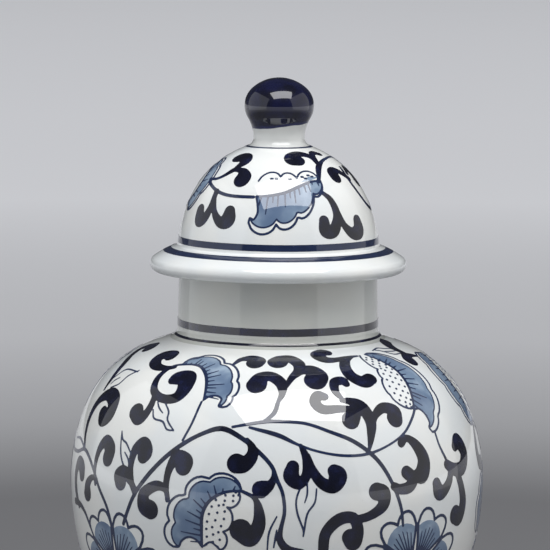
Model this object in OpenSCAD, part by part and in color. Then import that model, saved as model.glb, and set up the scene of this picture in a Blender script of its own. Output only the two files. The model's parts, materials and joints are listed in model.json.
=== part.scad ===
// Lidded ginger jar in blue-and-white porcelain.
// Four luted sections make the jar and three make the lid, which lifts off.
// The origin is the centre of the foot's underside, and the jar stands along +Z.

/* [Body] */
// Outside radius at the belly, the widest point of the jar
belly_r = 95.2; // [92:0.2:98]
// Radius of the long arc below the belly
lower_arc_r = 131.5; // [126:0.5:136]
// Radius of the arc above the belly
belly_arc_r = 84.3; // [80:0.1:88]
// Degrees that the arc above the belly turns
belly_turn = 24.3; // [22:0.1:26]
// Radius of the shoulder's arc
shoulder_arc_r = 52; // [50:0.5:54]
// Degrees that the shoulder's arc turns
shoulder_turn = 46.3; // [44:0.1:48]
// Thickness of the jar's wall
wall = 4.4; // [3.6:0.1:5]

/* [Foot] */
// Outside radius of the foot ring
foot_r = 58.7; // [57:0.1:61]
// Height of the foot ring
foot_h = 7; // [5:0.5:9]
// Width of the foot ring, seen from below
foot_w = 7.5; // [6:0.5:9]
// Radius of the hollow curve where the body meets the foot
foot_flare_r = 35; // [30:1:40]
// Degrees that the lower body leans out from upright
foot_lean = 32; // [30:0.5:33]
// Thickness of the jar's floor
floor_t = 5; // [4:0.5:7]
// Radius of the corner between the floor and the wall, inside
floor_corner_r = 10; // [8:1:12]

/* [Neck] */
// Outside radius of the neck at its rim
neck_r = 45.7; // [45:0.1:46.5]
// Height of the neck above its joint with the shoulder
neck_h = 30.3; // [26:0.1:34]
// Degrees that the neck leans in towards its rim
neck_lean = 1.3; // [0.5:0.1:2]
// Radius of the hollow curve at the neck's root
neck_root_r = 5; // [4:0.5:6]
// Radius of the rim's rounded edges
rim_round_r = 1.2; // [0.8:0.1:1.6]

/* [Lid] */
// Radius from the axis to the middle of the brim's round edge
brim_r = 55.3; // [54:0.1:57]
// Radius of the brim's round edge
bead_r = 3.7; // [3.4:0.1:4]
// Degrees that the brim's round edge turns
bead_turn = 145; // [143:1:147]
// Radius of the arc across the top of the brim
brim_arc_r = 39.7; // [38:0.1:41]
// Degrees that the top of the brim turns
brim_turn = 17; // [16:0.1:18]
// Radius of the small curve between the brim and the dome
dome_root_r = 0.8; // [0.6:0.1:1.2]
// Degrees that the dome leans in at its foot
dome_lean = 6.6; // [6:0.1:8]
// Radius of the dome's side
dome_side_r = 76.3; // [74:0.1:78]
// Degrees that the dome's side turns
dome_side_turn = 13.9; // [13:0.1:15]
// Radius of the dome's crown
dome_crown_r = 45.8; // [44:0.1:47]
// Degrees that the dome's crown turns
dome_crown_turn = 46.5; // [45:0.5:48]
// Thickness of the dome's wall
dome_wall = 4.2; // [3.6:0.1:4.6]

/* [Lid collar] */
// Gap between the lid's collar and the inside of the neck
collar_gap = 1.4; // [0.8:0.1:2]
// Thickness of the lid's collar
collar_wall = 3.2; // [2.8:0.1:3.6]
// Depth of the lid's collar below the rim
collar_h = 14; // [10:1:18]

/* [Knob] */
// Radius of the knob's stem at its narrowest
stem_r = 11.8; // [11.4:0.1:12.2]
// Radius of the hollow curve at the stem's root
stem_root_r = 3.4; // [3:0.1:3.8]
// Radius of the hollow curve up the stem
stem_arc_r = 18; // [17:0.5:19]
// Degrees that the stem flares out
stem_flare = 31; // [29:1:33]
// Radius of the knob's side
knob_side_r = 11; // [10.6:0.1:11.4]
// Degrees that the knob's side turns
knob_side_turn = 80; // [78:1:82]
// Radius of the tenon that plugs the knob into the lid
tenon_r = 5; // [4:0.5:6]

/* [Hidden] */
$fn = 180;
// Degrees of arc between two points of an outline
arc_step = 3;
// Space under the lid's seat, so that it rests without biting
seat_gap = 0.05;
// Radius of the round edges under the foot ring and the collar
edge_r = 1.2;
// Upright stretch at the dome's inner foot
inner_foot_h = 3;

porcelain = "#eef1ef";
biscuit = "#d8d0c2";
cobalt = "#10163c";

// An outline is drawn as a pen would draw it, from a start point and a heading in degrees.
// Each step is [radius, sweep], which turns left where sweep is positive, or [0, length].
function is_line(s) = s[0] == 0;
function turned(h, s) = is_line(s) ? h : h + s[1];
function along(p, h, s, share) =
    is_line(s)
    ? p + share * s[1] * [cos(h), sin(h)]
    : p + s[0] * sign(s[1]) * [sin(h + share * s[1]) - sin(h), cos(h) - cos(h + share * s[1])];
function count(s) = is_line(s) ? 1 : max(2, ceil(abs(s[1]) / arc_step));
function drawn(p, h, steps, i = 0) =
    i == len(steps)
    ? [p]
    : let (s = steps[i], n = count(s))
      concat([for (k = [0 : n - 1]) along(p, h, s, k / n)], drawn(along(p, h, s, 1), turned(h, s), steps, i + 1));
function last(points) = points[len(points) - 1];
function reversed(points) = [for (i = [len(points) - 1 : -1 : 0]) points[i]];
// The same steps, moved t to the left of the pen
function inset(steps, t) = [for (s = steps) is_line(s) ? s : [s[0] - sign(s[1]) * t, s[1]]];
function left_of(p, h, t) = p + t * [-sin(h), cos(h)];

module turned_solid(outline) {
    rotate_extrude()
        polygon(outline);
}

// Body, from the foot up
lower_run = (belly_r - foot_r - (lower_arc_r + foot_flare_r) * (1 - cos(foot_lean))) / sin(foot_lean);
lower_steps = [[foot_flare_r, -foot_lean], [0, lower_run], [lower_arc_r, foot_lean]];
lower_outside = drawn([foot_r, foot_h], 90, lower_steps);
belly_z = last(lower_outside)[1];

floor_z = foot_h + floor_t;
inner_arc_r = lower_arc_r - wall;
corner_rise = floor_corner_r * (1 - sin(foot_lean));
inner_run = (belly_z - floor_z - corner_rise - inner_arc_r * sin(foot_lean)) / cos(foot_lean);
floor_r = belly_r - wall - inner_arc_r * (1 - cos(foot_lean))
    - inner_run * sin(foot_lean) - floor_corner_r * cos(foot_lean);
lower_inside = drawn([0, floor_z], 0, [
    [0, floor_r],
    [floor_corner_r, 90 - foot_lean],
    [0, inner_run],
    [inner_arc_r, foot_lean],
]);

// Shoulder, from the belly to the neck's joint
shoulder_lean = belly_turn + shoulder_turn;
neck_root_turn = shoulder_lean - neck_lean;
root_rise = neck_root_r * (sin(shoulder_lean) - sin(neck_lean));
neck_run = (neck_h - root_rise - rim_round_r) / cos(neck_lean);
shoulder_r = belly_r - belly_arc_r * (1 - cos(belly_turn))
    - shoulder_arc_r * (cos(belly_turn) - cos(shoulder_lean));
root_width = neck_root_r * (cos(neck_lean) - cos(shoulder_lean));
shoulder_run = (shoulder_r - root_width - neck_run * sin(neck_lean) - neck_r) / sin(shoulder_lean);
upper_steps = [[belly_arc_r, belly_turn], [shoulder_arc_r, shoulder_turn], [0, shoulder_run]];
upper_outside = drawn([belly_r, belly_z], 90, upper_steps);
upper_inside = drawn([belly_r - wall, belly_z], 90, inset(upper_steps, wall));

// Neck, from its joint to its rim
joint_heading = 90 + shoulder_lean;
neck_steps = [[neck_root_r, -neck_root_turn], [0, neck_run]];
neck_start = last(upper_outside);
neck_outside = drawn(neck_start, joint_heading, neck_steps);
neck_inside = drawn(last(upper_inside), joint_heading, inset(neck_steps, wall));
rim_z = last(neck_outside)[1] + rim_round_r;
rim_flat = wall - 2 * rim_round_r;
rim = drawn(last(neck_outside), 90, [[rim_round_r, 90], [0, rim_flat], [rim_round_r, 90]]);

// Lid, from its seat on the rim to the knob's joint
seat_z = rim_z + seat_gap;
collar_r = neck_r - wall - collar_gap;
collar_inner_r = collar_r - collar_wall;
brim_edge = drawn([collar_inner_r, seat_z], 0, [
    [0, brim_r - collar_inner_r],
    [bead_r, bead_turn],
    [brim_arc_r, brim_turn],
]);
brim_heading = bead_turn + brim_turn;
dome_steps = [[dome_side_r, dome_side_turn], [dome_crown_r, dome_crown_turn]];
dome_heading = 90 + dome_lean;
crown_heading = dome_heading + dome_side_turn + dome_crown_turn;
dome_root = drawn(last(brim_edge), brim_heading, [[dome_root_r, dome_heading - brim_heading]]);
dome_start = last(dome_root);
dome_curve = drawn(dome_start, dome_heading, dome_steps);
stem_root_w = stem_root_r * (1 - sin(crown_heading));
crown_run = (last(dome_curve)[0] - stem_r - stem_root_w) / -cos(crown_heading);
stem_foot = along(last(dome_curve), crown_heading, [0, crown_run], 1);
dome_inside = drawn(left_of(dome_start, dome_heading, dome_wall), dome_heading, inset(dome_steps, dome_wall));
crown_inside_z = stem_foot[1] - dome_wall;

// Knob, from its joint to its top
knob_steps = [[stem_root_r, 90 - crown_heading], [stem_arc_r, -stem_flare], [knob_side_r, knob_side_turn]];
knob_side = drawn(stem_foot, crown_heading, knob_steps);
knob_heading = 90 - stem_flare + knob_side_turn;
knob_top_r = last(knob_side)[0] / sin(knob_heading);
knob_top = drawn(last(knob_side), knob_heading, [[knob_top_r, 180 - knob_heading]]);

// Turned ring that the jar stands on, luted under the floor
module foot_ring() {
    inner_r = foot_r - foot_w;
    color(biscuit)
        turned_solid(concat(
            drawn([inner_r, edge_r], -90, [[edge_r, 90], [0, foot_w - 2 * edge_r], [edge_r, 90]]),
            [[foot_r, foot_h], [inner_r, foot_h]]
        ));
}

// Lower half of the jar, with its floor
module lower_body() {
    color(porcelain)
        turned_solid(concat([[0, foot_h]], lower_outside, reversed(lower_inside)));
}

// Upper half of the jar, from the belly over the shoulder
module upper_body() {
    color(porcelain)
        turned_solid(concat(upper_outside, reversed(upper_inside)));
}

// Upright neck, with a rounded rim that carries the lid
module neck() {
    color(porcelain)
        turned_solid(concat(neck_outside, rim, reversed(neck_inside)));
}

// Brim and dome of the lid, thrown in one piece, with a hole for the knob's tenon
module lid_dome() {
    color(porcelain)
        turned_solid(concat(
            brim_edge,
            dome_root,
            dome_curve,
            [stem_foot, [tenon_r, stem_foot[1]], [tenon_r, crown_inside_z]],
            reversed(dome_inside),
            [[collar_inner_r, seat_z + inner_foot_h]]
        ));
}

// Collar under the lid, which drops into the neck and keeps the lid centred
module lid_collar() {
    color(biscuit)
        turned_solid(concat(
            drawn([collar_inner_r, seat_z - collar_h + edge_r], -90,
                [[edge_r, 90], [0, collar_wall - 2 * edge_r], [edge_r, 90]]),
            [[collar_r, seat_z], [collar_inner_r, seat_z]]
        ));
}

// Solid knob, with a tenon that plugs into the top of the dome
module knob() {
    color(cobalt)
        turned_solid(concat(
            [[0, crown_inside_z], [tenon_r, crown_inside_z], [tenon_r, stem_foot[1]]],
            knob_side,
            [for (i = [1 : len(knob_top) - 2]) knob_top[i]],
            [[0, last(knob_top)[1]]]
        ));
}

foot_ring();
lower_body();
upper_body();
neck();
lid_dome();
lid_collar();
knob();
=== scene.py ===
# %% [markdown]
# # A blue-and-white ginger jar
# The real jar is two fired pieces of porcelain: a jar, and a lid that lifts off. A potter throws each
# one in sections, joins them with slip, lets them dry, paints them with cobalt, dips them in clear
# glaze and fires them once. This script follows that order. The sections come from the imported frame,
# which already has every size and place. Each one is turned again here with a finer outline, because a
# gloss glaze shows the smallest flat in its mirror.

# %% Load the frame
import json
import math
import bpy
import numpy as np
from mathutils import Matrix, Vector
from mathutils.geometry import delaunay_2d_cdt


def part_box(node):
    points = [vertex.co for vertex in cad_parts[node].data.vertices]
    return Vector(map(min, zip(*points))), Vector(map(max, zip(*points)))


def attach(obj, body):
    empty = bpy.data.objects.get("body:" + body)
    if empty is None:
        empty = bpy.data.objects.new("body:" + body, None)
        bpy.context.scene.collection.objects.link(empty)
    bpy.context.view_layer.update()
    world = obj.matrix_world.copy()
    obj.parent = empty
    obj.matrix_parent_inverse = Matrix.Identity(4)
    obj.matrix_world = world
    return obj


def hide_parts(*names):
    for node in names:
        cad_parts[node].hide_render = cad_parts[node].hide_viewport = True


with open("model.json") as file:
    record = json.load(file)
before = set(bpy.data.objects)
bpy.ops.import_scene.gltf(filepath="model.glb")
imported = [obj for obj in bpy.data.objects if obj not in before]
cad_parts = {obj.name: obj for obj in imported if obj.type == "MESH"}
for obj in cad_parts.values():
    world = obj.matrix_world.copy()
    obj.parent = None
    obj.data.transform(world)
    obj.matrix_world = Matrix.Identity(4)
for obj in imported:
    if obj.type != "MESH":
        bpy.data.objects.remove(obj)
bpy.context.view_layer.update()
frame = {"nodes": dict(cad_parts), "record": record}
MM = 0.001

# %% [markdown]
# ## Reading an outline from a section
# Every section is a solid of revolution, so half a slice through its axis says all there is to know
# about it. The slice could be typed in again as numbers, but then it could drift from the frame.
# Cutting a copy of the section with a plane and walking along the cut gives the same points that the
# section was made from, in order.

# %% Cut a slice and walk along it
def deselect():
    """An operator works on everything selected, so each step starts from nothing selected."""
    bpy.ops.object.select_all(action="DESELECT")


def edit(piece):
    """Opens one piece alone in edit mode, with all of it selected."""
    deselect()
    bpy.context.view_layer.objects.active = piece
    piece.select_set(True)
    bpy.ops.object.mode_set(mode="EDIT")
    bpy.ops.mesh.select_all(action="SELECT")


def slice_of(node):
    """The points (radius, height) in mm of half a section's slice, and whether they close into a ring."""
    copy = bpy.data.objects.new("slice", frame["nodes"][node].data.copy())
    bpy.context.scene.collection.objects.link(copy)
    edit(copy)
    bpy.ops.mesh.remove_doubles(threshold=1e-6)
    bpy.ops.mesh.bisect(
        plane_co=(0, 0, 0), plane_no=(0, 1, 0), clear_inner=True, clear_outer=True, threshold=1e-6
    )
    bpy.ops.object.mode_set(mode="OBJECT")
    place = {v.index: (v.co.x / MM, v.co.z / MM) for v in copy.data.vertices if v.co.x > -1e-6}
    beside = {i: [] for i in place}
    for edge in copy.data.edges:
        a, b = edge.vertices
        if a in place and b in place:
            beside[a].append(b)
            beside[b].append(a)
    bpy.data.objects.remove(copy)
    ends = [i for i in place if len(beside[i]) == 1]
    path = [min(ends or place, key=lambda i: place[i][1])]
    while True:
        onward = [i for i in beside[path[-1]] if i not in path[-2:] and i != path[0]]
        if not onward:
            break
        path.append(onward[0])
    return np.array([place[i] for i in path]), not ends

# %% [markdown]
# ## Making the outline smooth
# The frame's outline has a point every few degrees. Under a gloss glaze those flats would show as bands
# of light. A subdivision surface would round the real corners too. Here each smooth stretch between two
# corners gets a curve through its points, with tangents that lie along the straight stretches and halve
# the angle on the round ones.

# %% Curves through the outline's points
CORNER = math.radians(15)
FINE_LENGTH = 1.6
FINE_TURN = math.radians(1.5)
STRAIGHT_TURN = math.radians(0.35)
STRAIGHT_RATIO = 2.2


def heading(v):
    return np.arctan2(v[..., 1], v[..., 0])


def turn_between(a, b):
    return (b - a + math.pi) % (2 * math.pi) - math.pi


def without_midpoints(points, ring):
    """The outline without the points that lie on a straight line between their neighbours."""
    kept = []
    for i in range(len(points)):
        before, after = points[i - 1], points[(i + 1) % len(points)]
        at_end = not ring and i in (0, len(points) - 1)
        turn = turn_between(heading(points[i] - before), heading(after - points[i]))
        if at_end or abs(turn) > STRAIGHT_TURN:
            kept.append(points[i])
    return np.array(kept)


def curve_through(points):
    """A smooth curve through one stretch of outline: its points, and the normals on its right-hand side."""
    way = np.diff(points, axis=0)
    length = np.hypot(*way.T)
    ahead = heading(way)
    tangent = np.zeros(len(points))
    for i in range(1, len(points) - 1):
        before, after = length[i - 1], length[i]
        if before > STRAIGHT_RATIO * after:
            tangent[i] = ahead[i - 1]
        elif after > STRAIGHT_RATIO * before:
            tangent[i] = ahead[i]
        else:
            tangent[i] = ahead[i - 1] + turn_between(ahead[i - 1], ahead[i]) / 2
    inner_start = tangent[1] if len(points) > 2 else ahead[0]
    inner_end = tangent[-2] if len(points) > 2 else ahead[-1]
    tangent[0] = ahead[0] - turn_between(ahead[0], inner_start)
    tangent[-1] = ahead[-1] + turn_between(inner_end, ahead[-1])
    out, normals = [], []
    for i in range(len(way)):
        turned = abs(turn_between(tangent[i], tangent[i + 1]))
        count = max(1, math.ceil(length[i] / FINE_LENGTH), math.ceil(turned / FINE_TURN))
        start = np.array([math.cos(tangent[i]), math.sin(tangent[i])]) * length[i]
        end = np.array([math.cos(tangent[i + 1]), math.sin(tangent[i + 1])]) * length[i]
        for k in range(count + (i == len(way) - 1)):
            t = k / count
            out.append(
                (2 * t**3 - 3 * t**2 + 1) * points[i] + (t**3 - 2 * t**2 + t) * start
                + (3 * t**2 - 2 * t**3) * points[i + 1] + (t**3 - t**2) * end
            )
            slope = (
                (6 * t**2 - 6 * t) * (points[i] - points[i + 1])
                + (3 * t**2 - 4 * t + 1) * start + (3 * t**2 - 2 * t) * end
            )
            slope = slope / np.hypot(*slope)
            normals.append((slope[1], -slope[0]))
    return np.array(out), np.array(normals)


def stretches_of(node):
    """A section's outline as smooth stretches, each (points, normals), with the solid on their left."""
    points, ring = slice_of(node)
    if not ring:
        points = np.vstack([(0, points[0, 1]), points, (0, points[-1, 1])])
        points = points[np.concatenate([[True], np.hypot(*np.diff(points, axis=0).T) > 1e-3])]
    r, z = points.T
    if np.sum(r * np.roll(z, -1) - z * np.roll(r, -1)) < 0:
        points = points[::-1]
    points = without_midpoints(points, ring)
    if ring:
        way = np.roll(points, -1, axis=0) - points
        turn = turn_between(heading(np.roll(way, 1, axis=0)), heading(way))
        first = int(np.argmax(np.abs(turn)))
        points = np.vstack([np.roll(points, -first, axis=0), points[first]])
    way = heading(np.diff(points, axis=0))
    corners = [i + 1 for i in range(len(way) - 1) if abs(turn_between(way[i], way[i + 1])) > CORNER]
    cuts = [0] + corners + [len(points) - 1]
    return [curve_through(points[a : b + 1]) for a, b in zip(cuts, cuts[1:])]


outlines = {node: stretches_of(node) for node in frame["nodes"]}
for node, stretches in outlines.items():
    print(node, "has", len(stretches), "smooth stretches,", sum(len(p) for p, n in stretches), "points")

# %% [markdown]
# ## Turning the sections
# On the wheel a section is one outline spun round an axis. Blender's Spin tool does that in edit mode,
# but it slows down with hundreds of fine steps, so here a Screw modifier with no rise turns the outline
# and is then applied. Each section stays its own piece, as it comes off the wheel, and stands for the
# frame's section of the same place.

# %% Turn an outline into a section
ROUND_STEPS = 256
SMOOTH_BELOW = math.radians(32)


def finish_mesh(piece):
    """Closes seams and poles, turns the faces outwards, and shades smooth up to the corners."""
    edit(piece)
    bpy.ops.mesh.remove_doubles(threshold=2e-6)
    bpy.ops.mesh.normals_make_consistent(inside=False)
    bpy.ops.object.mode_set(mode="OBJECT")
    bpy.ops.object.shade_smooth_by_angle(angle=SMOOTH_BELOW)


def new_piece(name, points, edges=(), faces=()):
    """A mesh object from plain points, edges and faces."""
    mesh = bpy.data.meshes.new(name)
    mesh.from_pydata([tuple(p) for p in points], list(edges), list(faces))
    piece = bpy.data.objects.new(name, mesh)
    bpy.context.scene.collection.objects.link(piece)
    return piece


def throw(name, node):
    """Turns a section's outline once round +Z and puts it in the section's place."""
    points = np.vstack([p if i == 0 else p[1:] for i, (p, n) in enumerate(outlines[node])])
    places = [(r * MM, 0, z * MM) for r, z in points]
    piece = new_piece(name, places, edges=[(i, i + 1) for i in range(len(places) - 1)])
    deselect()
    bpy.context.view_layer.objects.active = piece
    piece.select_set(True)
    bpy.ops.object.modifier_add(type="SCREW")
    wheel = piece.modifiers[0]
    wheel.steps = wheel.render_steps = ROUND_STEPS
    wheel.use_merge_vertices, wheel.merge_threshold = True, 1e-6
    bpy.ops.object.modifier_apply(modifier=wheel.name)
    finish_mesh(piece)
    body = next(b for b, nodes in frame["record"]["behaviour"]["bodies"].items() if node in nodes)
    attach(piece, body)
    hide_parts(node)
    print(name, "has", len(piece.data.polygons), "faces")
    return piece


foot = throw("turned_foot", "foot_ring")
lower = throw("lower_pot", "lower_body")
upper = throw("upper_pot", "upper_body")
neck = throw("thrown_neck", "neck")
dome = throw("thrown_lid", "lid_dome")
collar = throw("lid_collar_ring", "lid_collar")
knob = throw("turned_knob", "knob")

# %% [markdown]
# ## A skin to paint on
# A painter thinks of the jar as a sheet wrapped round it: so far round, so far up. Here a place on the
# sheet is a turn in degrees from the front and a climb in mm along the outline, measured from the
# section's widest line. A skin knows the radius, the height and the outward direction at each climb,
# and so it puts the sheet on the jar.

# %% The sheet and the skin
class Skin:
    """The outside of one or more sections, as a function of the climb along their outline."""

    def __init__(self, stretches, zero_height):
        points = np.vstack([p for p, n in stretches])
        normals = np.vstack([n for p, n in stretches])
        climb = np.concatenate([[0], np.cumsum(np.hypot(*np.diff(points, axis=0).T))])
        self.climb = climb - np.interp(zero_height, points[:, 1], climb)
        self.r, self.z = points.T
        self.nr, self.nz = normals.T

    def radius(self, climb):
        return np.interp(climb, self.climb, self.r)

    def climb_at(self, height):
        return float(np.interp(height, self.z, self.climb))

    def place(self, turn, climb, lift):
        """Points in metres and outward normals, for turns in degrees and climbs and a lift in mm."""
        r, z = self.radius(climb), np.interp(climb, self.climb, self.z)
        nr, nz = np.interp(climb, self.climb, self.nr), np.interp(climb, self.climb, self.nz)
        size = np.hypot(nr, nz)
        nr, nz = nr / size, nz / size
        east, front = np.sin(np.radians(turn)), -np.cos(np.radians(turn))
        spots = np.stack([(r + lift * nr) * east, (r + lift * nr) * front, z + lift * nz], 1) * MM
        return spots, np.stack([nr * east, nr * front, nz], 1)


def outside(node):
    """The smooth stretch of a section whose outward-facing part climbs highest."""

    def rise(stretch):
        heights = stretch[0][stretch[1][:, 0] > 0.05, 1]
        return np.ptp(heights) if len(heights) else 0

    return max(outlines[node], key=rise)


belly_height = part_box("lower_body")[1].z / MM
neck_points, neck_normals = outside("neck")
rim = int(np.argmax(neck_points[:, 1]))
neck_side = (neck_points[: rim + 1], neck_normals[: rim + 1])
lid_points, lid_normals = outside("lid_dome")
brim_edge = int(np.argmax(lid_points[:, 0]))
lid_side = (lid_points[brim_edge:], lid_normals[brim_edge:])
body_skin = Skin([outside("lower_body"), outside("upper_body"), neck_side], belly_height)
WITHIN_BRIM = 48
on_dome = lid_side[0][:, 0] < WITHIN_BRIM
dome_foot = float(lid_side[0][np.argmax(lid_side[1][:, 0] * on_dome), 1])
lid_skin = Skin([lid_side], dome_foot)
for name, skin in (("body", body_skin), ("lid", lid_skin)):
    print(name, "sheet climbs from", round(skin.climb[0], 1), "to", round(skin.climb[-1], 1), "mm")

# %% [markdown]
# ## Brush strokes as distances
# A brush stroke could be a curve with a changing width, but where strokes cross and curl their edges
# fold over. So each stroke is a row of round dabs. For every spot of a fine grid, the painting keeps
# the distance to the nearest dab's edge: less than zero is paint. Strokes then run together as wet
# paint does, and the outline is where the distance is zero. The pattern repeats on the jar's back, so
# half a turn is enough.

# %% The painting's grid, dabs and strokes
HALF_TURN = 180
GRID_MM = 0.42
FAR = 9.0


def smooth_rows(rows, count=10):
    """A Catmull-Rom curve through rows of numbers, with count points to each gap."""
    rows = np.array(rows, float)
    padded = np.vstack([2 * rows[0] - rows[1], rows, 2 * rows[-1] - rows[-2]])
    out = []
    for a, b, c, d in zip(padded, padded[1:], padded[2:], padded[3:]):
        for k in range(count):
            t = k / count
            out.append(b + 0.5 * t * (c - a + t * (2 * a - 5 * b + 4 * c - d + t * (3 * (b - c) + d - a))))
    return np.array(out + [rows[-1]])


class Painting:
    """One pigment on half a turn of a skin, as the distance in mm to the nearest edge of paint."""

    def __init__(self, skin, low, high, spacing):
        self.skin, self.spacing = skin, spacing
        widest = skin.radius(np.linspace(low, high, 50)).max()
        self.columns = int(math.ceil(math.pi * widest / GRID_MM))
        self.step = HALF_TURN / self.columns
        self.climb = np.arange(low, high, GRID_MM)
        self.r = skin.radius(self.climb)
        self.edge = np.full((len(self.climb), self.columns), FAR)
        self.load = np.zeros_like(self.edge)

    def window(self, turns, climbs, reach):
        """The rows and columns of the grid within reach of some points, and their places."""
        rows = np.flatnonzero((self.climb > min(climbs) - reach) & (self.climb < max(climbs) + reach))
        if len(rows) == 0:
            return None
        spread = math.degrees(reach / max(self.r[rows].min(), 4))
        first = math.floor((min(turns) - spread + 90) / self.step)
        last = math.ceil((max(turns) + spread + 90) / self.step)
        columns = np.arange(first, min(last + 1, first + self.columns))
        return rows[:, None], columns % self.columns, columns * self.step - 90

    def keep_nearest(self, rows, columns, distance, width):
        """Keeps a distance where it is the least so far, and the brush width there as the load."""
        before = self.edge[rows, columns]
        self.load[rows, columns] = np.where(distance < before, width, self.load[rows, columns])
        self.edge[rows, columns] = np.minimum(before, distance)

    def dab(self, a, b):
        """A round-ended dab from a to b, each (turn, climb, width)."""
        found = self.window((a[0], b[0]), (a[1], b[1]), max(a[2], b[2]) / 2 + 1.2)
        if found is None:
            return
        rows, columns, turns = found
        r = self.r[rows]
        x, y = np.radians(turns - a[0]) * r, self.climb[rows] - a[1]
        dx, dy = math.radians(b[0] - a[0]) * r, b[1] - a[1]
        along = np.clip((x * dx + y * dy) / (dx * dx + dy * dy + 1e-9), 0, 1)
        width = a[2] + along * (b[2] - a[2])
        self.keep_nearest(rows, columns, np.hypot(x - along * dx, y - along * dy) - width / 2, width)

    def stroke(self, rows, count=7):
        """A stroke through rows of (turn, climb, width)."""
        path = smooth_rows(rows, count)
        path[:, 2] = np.maximum(path[:, 2], 0.5)
        for a, b in zip(path, path[1:]):
            self.dab(a, b)

    def ring(self, climb, width, load, wobble=0.1):
        """A band right round, drawn by hand on a turning wheel, with a load of pigment of its own."""
        turns = np.radians(np.arange(self.columns) * self.step)
        line = climb + wobble * (np.sin(2 * turns) + 0.6 * np.sin(6 * turns + 1.3))
        distance = np.abs(self.climb[:, None] - line[None, :]) - width / 2
        self.keep_nearest(np.arange(len(self.climb))[:, None], np.arange(self.columns), distance, load)

    def fill(self, outline):
        """A filled area inside a closed outline of (turn, climb) points."""
        outline = np.array(outline, float)
        rows, columns, turns = self.window(outline[:, 0], outline[:, 1], 1.5)
        r = self.r[rows]
        x, y = np.radians(turns - outline[0, 0]) * r, self.climb[rows] + 0 * turns
        nearest = np.full(x.shape, FAR)
        within = np.zeros(x.shape, bool)
        for p, q in zip(outline, np.roll(outline, -1, axis=0)):
            px, qx = (np.radians(t - outline[0, 0]) * r for t in (p[0], q[0]))
            dx, dy = qx - px, q[1] - p[1]
            along = np.clip(((x - px) * dx + (y - p[1]) * dy) / (dx * dx + dy * dy + 1e-9), 0, 1)
            nearest = np.minimum(nearest, np.hypot(x - px - along * dx, y - p[1] - along * dy))
            crosses = (p[1] > y) != (q[1] > y)
            within ^= crosses & (x < px + (y - p[1]) * dx / (dy if dy else 1e-9))
        self.keep_nearest(rows, columns, np.where(within, -nearest, nearest), 0.0)

# %% [markdown]
# ## From distances to a thin skin of paint
# The line where the distance is zero is walked round, thinned to the points that its shape needs, and
# filled with triangles. A flat sheet of paint would cut through the round wall, so loose points are
# added inside wide strokes. The paint then gets a top just proud of the wall and a bottom inside it,
# which makes it a closed solid.

# %% Walk the edges of the paint
THIN_TOLERANCE = 0.03
THIN_LENGTH = 3.0
SIDES = {"left": (0, 0, 1, 0), "right": (0, 1, 1, 1), "low": (0, 0, 0, 1), "high": (1, 0, 1, 1)}


def edge_lines(painting):
    """The outlines of the paint, as arrays of (turn, climb) places, with the paint on their left."""
    field = np.pad(painting.edge, ((1, 1), (0, 0)), constant_values=FAR)
    field = np.hstack([field, field[:, :1]])
    inside = field < 0
    code = inside[:-1, :-1] + 2 * inside[:-1, 1:] + 4 * inside[1:, 1:] + 8 * inside[1:, :-1]
    pairs = {
        1: [("low", "left")], 2: [("right", "low")], 4: [("high", "right")], 8: [("left", "high")],
        3: [("right", "left")], 6: [("high", "low")], 12: [("left", "right")], 9: [("low", "high")],
        7: [("high", "left")], 14: [("left", "low")], 13: [("low", "right")], 11: [("right", "high")],
        5: [("low", "left"), ("high", "right")], 10: [("right", "low"), ("left", "high")],
    }
    places, follows = {}, {}

    def crossing(row, column, side):
        a, b, c, d = SIDES[side]
        start, end = (row + a, column + b), (row + c, column + d)
        key = (start, end)
        if key not in places:
            f, g = field[start], field[end]
            t = f / (f - g)
            turn = (start[1] + t * (end[1] - start[1])) * painting.step - 90
            climb = painting.climb[0] + (start[0] + t * (end[0] - start[0]) - 1) * GRID_MM
            places[key] = (turn, climb)
        return key

    for row, column in zip(*np.nonzero((code > 0) & (code < 15))):
        for first, second in pairs[int(code[row, column])]:
            follows[crossing(row, column, first)] = crossing(row, column, second)
    lines = []
    reached = set(follows.values())
    starts = [key for key in follows if key not in reached]
    while follows:
        key = starts.pop() if starts else next(iter(follows))
        line = [key]
        while line[-1] in follows:
            line.append(follows.pop(line[-1]))
        lines.append(np.array([places[k] for k in line]))
    return lines


def thinned(line, skin):
    """Only the points of a line that its shape needs, no more than THIN_LENGTH apart."""
    spots = skin.place(line[:, 0], line[:, 1], 0)[0] / MM
    farthest = int(np.argmax(np.abs(line[:, 0] - line[0, 0])))
    kept, spans = {0, farthest, len(line) - 1}, [(0, farthest), (farthest, len(line) - 1)]
    while spans:
        a, b = spans.pop()
        if b - a < 2:
            continue
        way = spots[b] - spots[a]
        length = np.linalg.norm(way)
        off = spots[a + 1 : b] - spots[a]
        along = np.clip(off @ way / max(length**2, 1e-9), 0, 1)
        miss = np.linalg.norm(off - along[:, None] * way, axis=1)
        if miss.max() > THIN_TOLERANCE:
            middle = a + 1 + int(np.argmax(miss))
        elif length > THIN_LENGTH:
            middle = (a + b) // 2
        else:
            continue
        kept.add(middle)
        spans += [(a, middle), (middle, b)]
    return line[sorted(kept)]


# %% Fill the paint with triangles
INNER_DEPTH = 0.75
PAINT_ROOT = 0.25
FLAT_RADIUS = 70


def inner_places(painting):
    """Loose places inside wide strokes, with the same climbs on both cuts of the half turn."""
    places = []
    for row in range(3, len(painting.climb) - 3, round(painting.spacing / GRID_MM)):
        gap = max(1, round(painting.spacing / (math.radians(painting.step) * painting.r[row])))
        columns = [c for c in range(0, painting.columns, gap) if painting.columns - c > gap / 2]
        for c in columns + [painting.columns]:
            if painting.edge[row, c % painting.columns] < -INNER_DEPTH:
                places.append((c * painting.step - 90, painting.climb[row]))
    return places


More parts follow.
